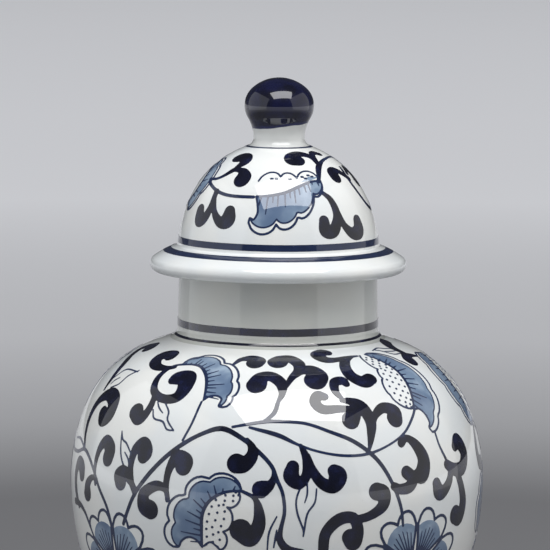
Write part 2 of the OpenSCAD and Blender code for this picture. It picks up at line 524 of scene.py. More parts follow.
def at_places(painting, field, turns, climbs):
    """A grid's values at some places, blended from the four spots round each."""
    across = (np.asarray(turns) + 90) / painting.step
    up = np.clip((np.asarray(climbs) - painting.climb[0]) / GRID_MM, 0, len(painting.climb) - 1.001)
    column, row = np.floor(across).astype(int), np.floor(up).astype(int)
    x, y = across - column, up - row
    left, right = column % painting.columns, (column + 1) % painting.columns
    low = field[row, left] * (1 - x) + field[row, right] * x
    high = field[row + 1, left] * (1 - x) + field[row + 1, right] * x
    return low * (1 - y) + high * y


def filled(painting):
    """Triangles that fill the paint of half a turn: places (turn, climb) and corners."""
    places, edges = [], []
    for line in edge_lines(painting):
        line = thinned(line, painting.skin)
        closed = np.allclose(line[0], line[-1])
        start = len(places)
        places += [tuple(p) for p in (line[:-1] if closed else line)]
        count = len(line) - 1
        edges += [(start + i, start + (i + 1) % (count if closed else count + 1)) for i in range(count)]
    places += inner_places(painting)
    for side in (-90, 90):
        cut = sorted((p[1], i) for i, p in enumerate(places) if abs(p[0] - side) < 1e-8)
        for (low, a), (high, b) in zip(cut, cut[1:]):
            if at_places(painting, painting.edge, side, (low + high) / 2) < 0:
                edges.append((a, b))
    flat = [Vector((math.radians(turn) * FLAT_RADIUS, climb)) for turn, climb in places]
    flat, made, corners, old_places, old_edges, _ = delaunay_2d_cdt(flat, edges, [], 0, 1e-5)
    flat = np.array([tuple(v) for v in flat])
    settled = np.stack([np.degrees(flat[:, 0] / FLAT_RADIUS), flat[:, 1]], 1)
    for i, olds in enumerate(old_places):
        if olds:
            settled[i] = places[max(olds, key=lambda k: abs(places[k][0]))]
    corners = np.array(corners)
    borders = {tuple(sorted(e)) for e, old in zip(made, old_edges) if old}
    a, b, c = flat[corners[:, 0]], flat[corners[:, 1]], flat[corners[:, 2]]
    area = ((b - a)[:, 0] * (c - a)[:, 1] - (b - a)[:, 1] * (c - a)[:, 0]) / 2
    centre = (a + b + c) / 3
    depth = at_places(painting, painting.edge, np.degrees(centre[:, 0] / FLAT_RADIUS), centre[:, 1])
    sides = {}
    for i, corner in enumerate(corners.tolist()):
        for k in range(3):
            sides.setdefault(tuple(sorted((corner[k], corner[(k + 1) % 3]))), []).append(i)
    patch = np.full(len(corners), -1)
    painted = []
    for first in range(len(corners)):
        if patch[first] >= 0:
            continue
        patch[first], queue, votes = len(painted), [first], 0.0
        while queue:
            i = queue.pop()
            votes += abs(area[i]) * (1 if depth[i] < 0 else -1)
            for k in range(3):
                side = tuple(sorted((corners[i][k], corners[i][(k + 1) % 3])))
                for j in sides[side] if side not in borders else ():
                    if patch[j] < 0:
                        patch[j] = patch[first]
                        queue.append(j)
        painted.append(votes > 0)
    corners = corners[[painted[p] for p in patch]]
    turned = area[[painted[p] for p in patch]] < 0
    corners[turned] = corners[turned][:, ::-1]
    return settled, corners


# %% Part the strokes that only touch
def part_touching(faces, count):
    """Gives strokes that touch at one corner a corner each, and returns the old corner behind every one."""
    source = list(range(count))
    ways = {(f[k], f[(k + 1) % 3]) for f in faces.tolist() for k in range(3)}
    met, shared = set(), set()
    for a, b in ways:
        if (b, a) not in ways:
            (shared if a in met else met).add(a)
    for corner in sorted(shared):
        around = {}
        for i in np.flatnonzero((faces == corner).any(axis=1)):
            k = faces[i].tolist().index(corner)
            around[int(faces[i][(k + 1) % 3])] = i, int(faces[i][(k + 2) % 3])
        ends = {end for _, end in around.values()}
        for place in sorted(a for a in around if a not in ends)[1:]:
            while place in around:
                i, place = around[place]
                faces[i][faces[i] == corner] = len(source)
            source.append(corner)
    return source


# %% Lay the paint on the skin
def lay_paint(name, painting, lift, body, material):
    """Makes the paint of a whole turn as one closed piece, lift mm proud of the skin."""
    places, corners = filled(painting)
    used, corners = np.unique(corners, return_inverse=True)
    places, corners = places[used], corners.reshape(-1, 3)
    count = len(places)
    left, right = (np.flatnonzero(np.abs(places[:, 0] - side) < 1e-8) for side in (-90, 90))
    left, right = (cut[np.argsort(places[cut, 1])] for cut in (left, right))
    second = np.arange(count, 2 * count)
    second[right], second[left] = left, right
    turns = np.concatenate([places[:, 0], places[:, 0] + HALF_TURN])
    climbs = np.concatenate([places[:, 1], places[:, 1]])
    top = np.vstack([corners, second[corners]])
    source = part_touching(top, 2 * count)
    turns, climbs = turns[source], climbs[source]
    total = len(source)
    bottom = top[:, ::-1] + total
    ways = {}
    for corner in top.tolist():
        for k in range(3):
            ways[corner[k], corner[(k + 1) % 3]] = True
    walls = [(a + total, b + total, b, a) for a, b in ways if (b, a) not in ways]
    spots, normals = painting.skin.place(turns, climbs, lift)
    roots = painting.skin.place(turns, climbs, -PAINT_ROOT)[0]
    faces = top.tolist() + bottom.tolist() + walls
    points = np.vstack([spots, roots])
    wanted = np.unique(np.concatenate([np.array(f) for f in (top.ravel(), bottom.ravel())]))
    renumber = np.full(len(points), -1)
    renumber[wanted] = np.arange(len(wanted))
    faces = [[int(renumber[i]) for i in face] for face in faces]
    piece = new_piece(name, points[wanted], faces=faces)
    mesh = piece.data
    smooth = np.zeros(len(faces), bool)
    smooth[: len(top)] = True
    mesh.polygons.foreach_set("use_smooth", smooth)
    corner_normals = np.zeros((len(mesh.loops), 3))
    corner_normals[: top.size] = normals[top.ravel()]
    mesh.normals_split_custom_set([tuple(n) for n in corner_normals])
    load = mesh.attributes.new("load", "FLOAT", "POINT")
    loads = at_places(painting, painting.load, turns, climbs)
    load.data.foreach_set("value", np.concatenate([loads, loads])[wanted])
    mesh.materials.append(material)
    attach(piece, body)
    print(name, "has", 2 * len(top) + 2 * len(walls), "triangles")

# %% [markdown]
# ## Writing shader maths as sums
# A pattern is a sum of noises, limits and mixes, and a node tree hides the sum among boxes and wires.
# The small class below wraps a socket, so that `1 - spots * 0.3` in Python adds the Math nodes for it.
# Colours never go through Math nodes, which would turn them grey: they have a Mix node of their own.

# %% A class that wraps a socket
class Flow:
    """A value that runs through a node tree. Sums on it add Math nodes."""

    def __init__(self, tree, socket):
        self.tree, self.socket = tree, socket

    def maths(self, operation, first, second):
        return add_node(self.tree, "ShaderNodeMath", {"operation": operation}, {0: first, 1: second})

    def __add__(self, other):
        return self.maths("ADD", self, other)

    __radd__ = __add__

    def __mul__(self, other):
        return self.maths("MULTIPLY", self, other)

    __rmul__ = __mul__

    def __sub__(self, other):
        return self.maths("SUBTRACT", self, other)

    def __rsub__(self, other):
        return self.maths("SUBTRACT", other, self)

    def out(self, name):
        """Another output of the same node."""
        return Flow(self.tree, self.socket.node.outputs[name])


def add_node(tree, kind, settings=None, sockets=None):
    """Adds one node: its settings, then its sockets' values and links. Gives its first used output."""
    box = tree.nodes.new(kind)
    for key, value in (settings or {}).items():
        if key == "stops":
            for _ in range(len(value) - 2):
                box.color_ramp.elements.new(0.5)
            for stop, (place, colour) in zip(box.color_ramp.elements, value):
                stop.position, stop.color = place, colour
        else:
            setattr(box, key, value)
    for key, value in (sockets or {}).items():
        if isinstance(value, Flow):
            tree.links.new(value.socket, box.inputs[key])
        else:
            box.inputs[key].default_value = value
    return Flow(tree, next((s for s in box.outputs if s.enabled), None)) if box.outputs else None


def colour(r, g, b):
    """A colour given as it looks on a screen, from 0 to 255, turned into light."""
    shown = [v / 255 for v in (r, g, b)]
    return tuple(v / 12.92 if v <= 0.04045 else ((v + 0.055) / 1.055) ** 2.4 for v in shown) + (1.0,)


def mix(amount, first, second):
    """Blends two colours: the first where amount is 0, the second where it is 1."""
    blend = add_node(amount.tree, "ShaderNodeMix", {"data_type": "RGBA"}, {0: amount, 6: first, 7: second})
    return Flow(amount.tree, blend.socket.node.outputs[2])


def noise(tree, size_mm, detail=3, shift=0.0):
    """Soft noise from 0 to 1 with lumps about size_mm across, on the piece's own coordinates."""
    place = add_node(tree, "ShaderNodeTexCoord").out("Object")
    mapped = add_node(
        tree, "ShaderNodeMapping", {},
        {"Vector": place, "Location": (shift,) * 3, "Scale": (1 / (size_mm * MM),) * 3},
    )
    return add_node(tree, "ShaderNodeTexNoise", {}, {"Vector": mapped, "Scale": 1.0, "Detail": detail})


def limits(value, low, high, to_low=0.0, to_high=1.0):
    """Stretches the part of a value between low and high, smoothly."""
    return add_node(
        value.tree, "ShaderNodeMapRange", {"interpolation_type": "SMOOTHSTEP"},
        {"Value": value, "From Min": low, "From Max": high, "To Min": to_low, "To Max": to_high},
    )

# %% [markdown]
# ## The glaze and what lies under it
# Porcelain looks deep because two things shine at once: a soft white body, and a hard clear glaze over
# it. A single rough white would look like plaster. Here the body is the shader's base, and the glaze is
# its coat. A faint ripple bends the coat's mirror the way real glaze does, where it ran and pooled
# before it set.

# %% Porcelain, cobalt and biscuit
def new_finish(name):
    """A material with only its shader and output, ready for one finish."""
    material = bpy.data.materials.new(name)
    material.use_nodes = True
    tree = material.node_tree
    return material, tree, tree.nodes["Principled BSDF"]


def glaze_over(tree, shader, base):
    """Puts a clear, faintly rippled glaze over a base colour."""
    tree.links.new(base.socket, shader.inputs["Base Color"])
    shader.inputs["Specular IOR Level"].default_value = 0.12
    shader.inputs["Coat Weight"].default_value = 1.0
    shader.inputs["Coat Roughness"].default_value = 0.02
    shader.inputs["Coat IOR"].default_value = 1.75
    tree.links.new(limits(noise(tree, 9), 0.3, 0.7, 0.32, 0.42).socket, shader.inputs["Roughness"])
    swell = noise(tree, 26, detail=1) * 0.7 + noise(tree, 5, detail=2) * 0.05
    ripple = {"Height": swell, "Strength": 0.25, "Distance": 0.3 * MM}
    bump = add_node(tree, "ShaderNodeBump", {}, ripple)
    tree.links.new(bump.socket, shader.inputs["Normal"])


def porcelain(name, thin, thick):
    """White body under clear glaze, a little cooler where the glaze lies thick."""
    material, tree, shader = new_finish(name)
    body = mix(limits(noise(tree, 34, detail=2), 0.35, 0.65), thin, thick)
    specks = limits(noise(tree, 1.1, detail=1, shift=3.0), 0.79, 0.83)
    body = mix(specks * 0.22, body, colour(150, 148, 140))
    glaze_over(tree, shader, body)
    return material


def cobalt(name, thin, full, deep, strokes_mm, line=None):
    """Cobalt under glaze: thin where the brush was dry, deep where it pooled, pale in a hair line."""
    material, tree, shader = new_finish(name)
    brush = noise(tree, strokes_mm, detail=4)
    pooled = limits(noise(tree, strokes_mm * 2.3, detail=2, shift=7.0), 0.4, 0.68)
    pigment = mix(limits(brush, 0.25, 0.6), thin, full)
    pigment = mix(pooled, pigment, deep)
    if line:
        load = add_node(tree, "ShaderNodeAttribute", {"attribute_name": "load"}).out("Fac")
        pigment = mix(limits(load + brush * 0.8, 1.3, 3.2), line, pigment)
    glaze_over(tree, shader, pigment)
    return material


def biscuit():
    """Unglazed porcelain: matt, slightly warm, with fine tooling rings and grains of kiln sand."""
    material, tree, shader = new_finish("biscuit")
    grain = noise(tree, 1.4, detail=4)
    stain = noise(tree, 18, detail=2, shift=2.0)
    body = mix(limits(stain, 0.35, 0.7), colour(222, 217, 207), colour(204, 194, 178))
    body = mix(limits(grain, 0.68, 0.78) * 0.5, body, colour(168, 154, 136))
    tree.links.new(body.socket, shader.inputs["Base Color"])
    tree.links.new(limits(grain, 0.3, 0.7, 0.72, 0.9).socket, shader.inputs["Roughness"])
    rings = add_node(
        tree, "ShaderNodeTexWave", {"wave_type": "RINGS", "rings_direction": "Z"},
        {"Vector": add_node(tree, "ShaderNodeTexCoord").out("Object"), "Scale": 260.0, "Distortion": 1.5},
    ).out("Fac")
    tooling = {"Height": rings * 0.5 + grain * 0.5, "Strength": 0.35, "Distance": 0.12 * MM}
    bump = add_node(tree, "ShaderNodeBump", {}, tooling)
    tree.links.new(bump.socket, shader.inputs["Normal"])
    return material


white_glaze = porcelain("porcelain", colour(238, 239, 236), colour(231, 235, 236))
# The neck's glaze is painted darker grey than the body's: painted shade standing in for the brim's shadow
# over the neck.
neck_painted_shade_glaze = porcelain("neck_porcelain_painted_shade", colour(200, 201, 195), colour(193, 196, 192))
navy = cobalt(
    "navy_cobalt", colour(24, 30, 66), colour(11, 14, 36), colour(6, 8, 24), 5, line=colour(36, 50, 84)
)
washed = cobalt("washed_cobalt", colour(156, 174, 194), colour(122, 143, 168), colour(94, 115, 145), 7)
raw_porcelain = biscuit()
print("finishes:", [m.name for m in bpy.data.materials])

# %% [markdown]
# ## The painter's vocabulary
# The pattern is a running vine. It grows curled commas, half-open flowers seen from the side, daisies
# and leaves. Each of these is a short function, and every line in it is one brush stroke with its width
# at each place. A flower's fan is washed pale first, then ribbed, then outlined twice with a white gap
# in between.

# %% Flowers, leaves and dots
NAVY_LIFT = 0.09
WASH_LIFT = 0.05
LINE = 0.95
FAN_EDGE = 1.25
SEED = 1.25
LOBE_POINTS = 9
FAN_POINTS = 44


def scallops(cusps, bulge):
    """A line of round lobes between cusps. Each bulges to the left by a share of its length."""
    line = []
    for (t0, c0), (t1, c1) in zip(cusps, cusps[1:]):
        scale = 1.66 * math.cos(math.radians((c0 + c1) / 2 * 0.45))
        x, y = (t1 - t0) * scale, c1 - c0
        for k in range(LOBE_POINTS):
            a = k / LOBE_POINTS
            out = bulge * (4 * a * (1 - a)) ** 0.65
            line.append((t0 + (t1 - t0) * a - y * out / scale, c0 + (c1 - c0) * a + x * out))
    return line + [cusps[-1]]


def spread(line, count):
    """Count places spread evenly along a line."""
    line = np.array(line, float)
    way = np.concatenate([[0], np.cumsum(np.hypot(*np.diff(line, axis=0).T))])
    goals = np.linspace(0, way[-1], count)
    return [(float(np.interp(g, way, line[:, 0])), float(np.interp(g, way, line[:, 1]))) for g in goals]


def draw(painting, places, width=LINE, ends=None, smooth=True):
    """A line of one width, or one that swells from its ends."""
    ends = width if ends is None else ends
    last = len(places) - 1
    rows = [(t, c, ends + (width - ends) * math.sin(math.pi * i / last)) for i, (t, c) in enumerate(places)]
    painting.stroke(rows, 4 if smooth else 1)


def moved(places, toward, share):
    """Places moved a share of the way towards other places."""
    return [(t + (u - t) * share, c + (d - c) * share) for (t, c), (u, d) in zip(places, toward)]


def fan(lines, wash, inner, cusps, bulge=0.2, gap=0.17, ribs=14, rib_length=0.7, foot=()):
    """Half a flower: a washed fan between its inner arc and its lobes, with ribs and a double outline."""
    arc = smooth_rows([(t, c) for t, c in inner], 6)
    outer = scallops(cusps, bulge)
    near, far = spread(arc, FAN_POINTS), spread(outer, FAN_POINTS)
    inside = moved(far, near, gap)
    wash.fill(near + list(foot) + inside[::-1])
    draw(lines, near, FAN_EDGE * 1.25, FAN_EDGE * 0.8, smooth=False)
    draw(lines, inside, FAN_EDGE * 0.62, smooth=False)
    draw(lines, far, FAN_EDGE * 0.85, smooth=False)
    draw(lines, [near[-1], *foot, inside[-1], far[-1]], FAN_EDGE * 0.8, smooth=bool(foot))
    draw(lines, [near[0], inside[0], far[0]], FAN_EDGE * 0.8, smooth=False)
    for k in range(1, ribs):
        i = round(k * (FAN_POINTS - 1) / ribs)
        length = rib_length * (0.7 + 0.3 * math.sin(k * 2.4))
        tip = tuple(inside[i][n] * length + near[i][n] * (1 - length) for n in (0, 1))
        lines.stroke([(*near[i], 0.95), (*moved([near[i]], [tip], 0.5)[0], 0.7), (*tip, 0.45)], 3)


def seeds(lines, inner, cusps, bulge=0.2, rows=3, count=9):
    """A flower's white seed cushion: a scalloped line with rows of dots between it and the inner arc."""
    outer = scallops(cusps, bulge)
    draw(lines, outer, 1.0, smooth=False)
    near, far = spread(smooth_rows(inner, 6), count * 2 + 1), spread(outer, count * 2 + 1)
    for row in range(rows):
        share = (row + 0.8) / (rows + 0.9)
        for k in range(1 + row % 2, count * 2, 2):
            spot = moved([near[k]], [far[k]], share)[0]
            lines.dab((*spot, SEED), (*spot, SEED))


def leaf(lines, upper, lower, rib=None):
    """A leaf in outline: its two edges, and a vein."""
    draw(lines, upper, LINE, 0.7)
    draw(lines, lower, LINE, 0.7)
    if rib:
        draw(lines, rib, LINE * 0.9, 0.6)


def daisy(lines, wash, centre, radius, petals=7, tilt=0.0):
    """A flower from the front: washed petals that end in white, a dark outline round each, and ribs."""
    turn0, climb0 = centre
    scale = math.radians(1) * float(lines.skin.radius(climb0))

    def spot(angle, away):
        return turn0 + away * math.cos(angle) / scale, climb0 + away * math.sin(angle)

    step = 2 * math.pi / petals
    for p in range(petals):
        middle = tilt + p * step
        rim = []
        for k in range(17):
            u = k / 8 - 1
            lobe = 1 - abs(2 * abs(u) - 1) ** 2.4 * (0.14 + 0.1 * abs(u))
            rim.append(spot(middle + u * step * 0.47, radius * lobe))
        neck_places = (spot(middle - step * 0.3, radius * 0.26), spot(middle + step * 0.3, radius * 0.26))
        draw(lines, [neck_places[0], *rim, neck_places[1]], 1.35, smooth=False)
        across = np.linspace(-1, 1, 9)
        washed_rim = [spot(middle + u * step * 0.45, radius * (0.84 - 0.12 * u**2)) for u in across]
        wash.fill([neck_places[0], *washed_rim, neck_places[1]])
        for u in (-0.72, -0.42, -0.14, 0.14, 0.42, 0.72):
            lines.stroke([
                (*spot(middle + u * step * 0.34, radius * 0.335), 0.9),
                (*spot(middle + u * step * 0.42, radius * (0.74 - 0.14 * abs(u))), 0.5),
            ], 3)
    for k in range(14):
        lines.dab(*[(*spot(k * 2.4, radius * 0.055 * math.sqrt(k)), 1.3)] * 2)
    draw(lines, [spot(a, radius * 0.27) for a in np.linspace(0, 2 * math.pi, 25)], 1.1, smooth=False)

# %% [markdown]
# ## Painting the jar
# The painter turns the jar and paints the vine first, then hangs the commas, flowers and leaves on it.
# Places are (turn, climb, width): degrees round from the front, mm above the widest line, and mm of
# brush. The two halves of the jar carry the same pattern, as the real painter repeats a stencil pricked
# in paper.

# %% The jar's vine and commas
VINE_BRUSH = 0.8
COMMA_BRUSH = 0.93
body_navy = Painting(body_skin, -108, 99, spacing=2.5)
body_wash = Painting(body_skin, -108, 92, spacing=2.5)

vines = [
    [(-46, -11, 2.2), (-42, 2, 2.4), (-38, 11, 2.6), (-33, 20, 2.6), (-28, 27, 2.6), (-22, 33, 2.4),
     (-16, 36, 3), (-10, 32, 2.6), (-5, 26, 2.4), (-1.5, 20, 2.2), (0, 14, 2.2), (1.5, 8, 2), (2, 0, 2),
     (1, -8, 2.5), (1, -13, 4), (3, -17, 5), (6.5, -19, 6)],
    [(-27.5, 29.5, 1.4), (-25.5, 38, 1.4), (-24.3, 48, 1.4)],
    [(-51, -14, 2.2), (-53, -5, 2.2), (-57, 3, 2.2), (-60, 9, 2.2), (-64, 14.5, 2.2), (-69, 17.5, 2.2),
     (-75, 15, 2.2), (-83, 15, 2), (-90, 20, 1.8), (-98, 28, 1.6)],
    [(-69, 18, 1.6), (-75, 21, 1.6), (-81, 20, 1.2)],
    [(-75, -8, 4), (-70, -8, 3.4), (-66, -11, 2.6), (-63, -17, 2.2)],
    [(-13, 37, 1.5), (-5, 39.5, 2), (0, 40, 2), (8, 39, 1.8), (15, 35, 2), (22, 30, 2.4), (28, 22, 2.4),
     (32, 12, 2.2), (35, 0, 2), (36, -9, 1.6)],
    [(-8, 37, 1.5), (0, 33.8, 2.6), (6, 29.3, 1.6), (12, 26, 1.4), (19, 24, 1.6), (26, 24.3, 1.6),
     (33, 27.5, 1.2), (39, 32, 1.4), (43.5, 38, 1.6), (46, 42, 1.6)],
    [(51.5, 30, 1.4), (52, 24, 1.6), (54, 17, 2)],
]
commas = [
    [(-40, 69, 1.2), (-44, 66, 2.2), (-46, 59, 3.6), (-44, 51.5, 4.2), (-39, 48, 4.6), (-34, 49, 6),
     (-32.3, 54, 8), (-33.5, 60, 10), (-37, 60, 9), (-38.5, 58.5, 6)],
    [(-42.5, 66, 2.5), (-47, 64.5, 4), (-52, 65, 5.5), (-56, 68.5, 7.5), (-56, 73, 9),
     (-52.5, 74.5, 8.5), (-50.5, 72.5, 6)],
    [(-18, 72, 1.8), (-16, 76, 3.5), (-12, 77.5, 6), (-9, 75.5, 8.5), (-9.3, 73.5, 9)],
    [(2.5, 57, 2), (5, 63, 3.5), (8, 68, 5), (8.5, 73, 6.5), (5.5, 77.5, 7), (1.5, 77, 8),
     (0, 74.5, 10)],
    [(6, 64, 3), (9, 67.5, 5), (12.5, 68, 8), (14.5, 64, 10.5), (13.3, 61, 11)],
    [(0, 49, 1.5), (1.5, 54, 3.5), (1, 60, 6), (-2.5, 64, 6.5), (-6, 63, 7.5), (-7.2, 58.5, 10)],
    [(-4, 39.8, 1.5), (-1, 44, 2.2), (0.3, 50, 2), (1.5, 54, 2.5)],
    [(-8.5, 31.5, 2), (-7, 28, 4), (-7, 24, 6), (-9, 20.5, 7.5), (-11, 20.8, 9.5)],
    [(-1.2, 20, 1.2), (-0.9, 15.5, 2.4), (-1.9, 11.8, 4.6), (-4.3, 9.8, 8.4)],
    [(-9.5, 9, 1.5), (-6, 6, 2.2), (-4.8, 1, 4.5), (-4.8, -6, 6.5), (-7, -12, 8), (-9.5, -8.5, 11)],
    [(-30.5, 2.5, 2), (-31, 7, 3), (-34, 8.5, 5), (-38, 4.5, 6), (-38, -1, 8.5), (-36, -2.5, 9.5)],
    [(-30.3, 3, 2.5), (-31, 9, 3.2), (-30.5, 16, 4), (-28.5, 22, 6), (-26, 20.5, 8.5), (-26.2, 18, 8.5)],
    [(-41.5, 3, 2), (-43, 9, 3.6), (-43.8, 16, 3.8), (-43, 23, 5), (-40.5, 26, 7), (-39.3, 23, 9),
     (-39.7, 20.5, 7)],
    [(-41.5, 6, 2.5), (-43.5, 9, 4), (-46, 12.5, 6), (-48, 10.5, 7), (-47.2, 7.5, 8)],
    [(-42.5, 50, 3), (-42, 44, 4), (-43, 39, 5), (-45, 37, 7), (-47, 39.8, 9)],
    [(-59, 4, 2), (-60, 12, 3), (-59, 20, 4.5), (-56.5, 24, 6.5), (-53.8, 21, 8.5), (-54, 17, 8.5)],
    [(-58.5, 6, 2.5), (-61, 6.5, 3), (-63.5, 3, 5.5), (-63.8, -1.5, 8)],
    [(-69, 18, 1.6), (-71.5, 25, 3), (-72.5, 33, 4.5), (-70.5, 41, 6), (-65.5, 45, 7.5),
     (-60.5, 42.5, 9), (-59.5, 36.5, 9), (-62, 34, 9.5), (-64, 36, 7)],
    [(-72, 46, 1.8), (-73, 53, 4), (-76, 61, 5), (-80, 66, 5), (-83, 72, 6), (-79, 77, 7),
     (-75.5, 74.5, 8)],
    [(-71, -9, 3), (-73.5, -3, 4.5), (-74, 5, 5), (-72, 10.5, 6.5), (-69, 9, 8), (-68.3, 6, 7)],
    [(38, 77.5, 1.5), (32, 77, 2.8), (25, 75.5, 4.5), (20.5, 76.5, 6.5), (19, 80.5, 7.5), (22, 83, 6.5),
     (24.3, 82.5, 5.5)],
    [(35, 77.5, 2), (30, 74.5, 4.5), (27.3, 69, 6), (27.5, 63, 7), (31, 59, 7.5), (34.5, 60.5, 7)],
    [(21, 50, 2), (19.3, 54.5, 4), (20, 59.5, 5), (23, 60.5, 5.5), (24, 58.5, 4)],
    [(26.3, 26, 1.5), (27.5, 32, 4), (28.3, 39, 6), (26.5, 46, 6.5), (23, 49, 4), (20.5, 49.5, 2.2)],
    [(29, 37, 2), (30.5, 41.5, 3.8), (34, 44.5, 5.5), (37.5, 42.5, 7.5), (37, 39, 9)],
    [(24, 45, 3), (19, 45.5, 4), (14, 45.5, 5), (11.8, 49, 5.5), (13, 52.5, 5.5), (15, 52, 4.5)],
    [(25.5, 45.5, 3), (24, 43, 6), (22, 39.8, 9)],
    [(37, 27.5, 4), (39.5, 29.5, 3.5), (42.5, 25.5, 6), (44.3, 19, 8), (43, 13, 9), (41, 12.5, 6)],
    [(33, 9, 4), (35, 7.5, 5), (38, 8, 6), (39.5, 11.5, 6.5), (37.5, 14.5, 6.5)],
    [(12.5, -19, 5), (13, -10, 5.5), (16.5, -4, 6), (20.5, -3.5, 5.5), (22, -9, 6), (21, -14.5, 8),
     (19.8, -12, 8)],
    [(21, -4.5, 4), (25.5, -3, 4.5), (29.3, 1, 6), (29.5, 6, 8), (27.5, 7.5, 8.5)],
    [(6.5, 29, 2), (8, 23, 4.2), (7.8, 16, 4.6), (5.8, 12.5, 5.6), (3.8, 15.5, 7.6), (4.2, 19.8, 6)],
    [(8, 24, 4), (9.5, 18, 4.5), (12, 12.5, 5.5), (15, 11, 7), (16.5, 15, 9), (15.5, 17.5, 6.5)],
    [(54, 15, 5), (57.5, 12, 6.5), (62, 12, 7.5), (64.5, 18, 8), (62, 24, 8), (59.5, 22, 5)],
    [(55.5, 13, 4), (54.5, 8, 5), (52, 4, 6), (49.5, 3.5, 8), (48.5, 7.5, 6)],
    [(58.5, 11, 4.5), (60.5, 4, 5.5), (61.7, -4, 7), (60, -10, 8.5), (57.5, -8.5, 9.5)],
    [(75, 69, 2), (70, 71, 4), (66.5, 71, 6), (64.5, 68, 9)],
    [(69, 72, 3), (68, 78, 6), (71, 83, 7), (76, 85, 6)],
    [(84, 30, 1.5), (80, 25, 3), (77, 18, 5), (77.5, 11, 6.5), (81, 9.5, 8)],
    [(84, 30, 1.5), (89, 24, 2.2), (93, 17, 2.2), (95, 8, 2), (93, 1, 1.6)],
    [(93, 17, 2), (89.5, 15, 4), (87.5, 18.5, 6.5), (89, 21, 6)],
]
for strokes, brush in ((vines, VINE_BRUSH), (commas, COMMA_BRUSH)):
    for rows in strokes:
        body_navy.stroke([(turn, climb, width * brush) for turn, climb, width in rows])
print(len(vines), "vines and", len(commas), "commas on each half of the jar")

# %% The jar's flowers and leaves
fan(body_navy, body_wash,
    [(-41, 68), (-36, 69.3), (-31.5, 68.5), (-28, 65), (-25.5, 60), (-24.2, 54), (-23.8, 49)],
    [(-40, 69.5), (-36.5, 75), (-22, 72), (-14.3, 60.5), (-14.5, 51.5), (-17, 46)], bulge=0.24, gap=0.2,
    ribs=15, foot=[(-22, 51.3), (-19.6, 51.6), (-17.9, 50)])

lotus_arc = [(-9.5, 9), (-14, 8), (-18, 4), (-20, -2), (-20.3, -9), (-20.3, -17)]
fan(body_navy, body_wash, lotus_arc,
    [(-9.5, 9.5), (-18.5, 13.5), (-25, 5.5), (-29.8, -6.5), (-29, -18)], bulge=-0.3, gap=0.2, ribs=13,
    foot=[(-22, -13.8), (-24.3, -13), (-26.3, -15)])
seeds(body_navy, lotus_arc, [(-10, 8), (-13.2, 1.5), (-14.3, -9.5), (-15.5, -18)], bulge=0.3, count=9)
draw(body_navy, [(-19.8, -16.5), (-17.8, -14.5), (-15.4, -17.5)])

tall_arc = [(44, 76), (47, 71), (49.3, 64), (49.3, 57), (48, 50), (45.8, 42)]
fan(body_navy, body_wash, tall_arc, [(43, 78), (57, 69.5), (59.7, 50), (55.5, 37.5), (50.5, 30.5)],
    bulge=0.18, gap=0.2, ribs=15, foot=[(48, 42), (49.8, 39), (50.4, 35)])
seeds(body_navy, tall_arc, [(39.5, 77.5), (41, 66), (39.8, 60), (38.8, 50.5), (46, 43)], bulge=-0.2,
    rows=4, count=10)

fan(body_navy, body_wash, [(87, 68), (82, 61), (79.5, 50), (80.5, 40), (84, 30)],
    [(82, 70), (72.5, 62), (71, 50), (73.5, 38), (80, 28)], bulge=-0.22, gap=0.22, ribs=13)
seeds(body_navy, [(87, 68), (82, 61), (79.5, 50), (80.5, 40), (84, 30)],
    [(92, 67), (88.5, 56), (88.5, 44), (89, 33)], bulge=0.2, rows=3, count=9)

low_arc = [(93, 1), (88, -1), (84.5, -7), (84, -14), (85, -19)]
fan(body_navy, body_wash, low_arc, [(92, 3.5), (82, 5), (75.5, -3.5), (74, -13), (79, -22)],
    bulge=-0.24, gap=0.22, ribs=12)
seeds(body_navy, low_arc, [(94, 1), (91.5, -5), (91, -13), (88, -19)], bulge=0.2, rows=2, count=7)

leaf(body_navy, [(-37, 46), (-34.5, 42), (-34, 38), (-31, 33.5)],
    [(-40.5, 42), (-39, 38), (-35.5, 37), (-33.5, 33.8), (-31, 33.5)],
    [(-40, 46), (-38.5, 43.2), (-36.5, 41)])
leaf(body_navy, [(-50.3, 30), (-49, 26.5), (-47, 25), (-44.5, 21)],
    [(-50.3, 30), (-48.5, 20), (-46.5, 15), (-45, 13.5)], [(-47, 21), (-45.3, 18.5), (-44.3, 15)])
leaf(body_navy, [(-71.5, 53), (-69, 58), (-66, 59.5), (-59, 59.5)],
    [(-68, 48), (-64, 51), (-62.5, 56), (-59, 60.5)], [(-70, 49.5), (-69, 52), (-67, 54)])
leaf(body_navy, [(8, 16), (5.3, 7), (5.3, 0), (7, -8), (7, -11)],
    [(10.5, 10), (10, 4), (8, -1), (7.2, -9), (7, -11)], [(8, 14), (8, 8), (7.3, 4)])
leaf(body_navy, [(51, 80.5), (57, 82), (61, 80.5), (66, 79)],
    [(53, 80.5), (56, 79), (60, 74.5), (66, 74)], [(58, 78), (62, 77), (66, 76.5)])
leaf(body_navy, [(-2.5, -17), (-2, -9), (0, -2)], [(-0.8, -16), (-0.4, -12), (0, -8)])
for centre in ((-51, -35), (41, -31)):
    daisy(body_navy, body_wash, centre, 29, petals=7, tilt=math.pi / 2 - math.pi / 7)
print("flowers done")

# %% [markdown]
# ## Below the widest line
# Most of the lower half faces down, so its pattern is looser: one long wave of vine, with a pair
# of commas at every bend, and a small daisy between the large ones. Bands close the pattern above the
# foot and on the neck.

# %% The lower half and the bands
LOW_VINE = -75
LOW_WAVE = 7
BENDS = 4


def low_vine(turn):
    """The climb of the lower half's wavy vine at a turn."""
    return LOW_VINE + LOW_WAVE * math.sin(math.radians(turn + 20) * BENDS)


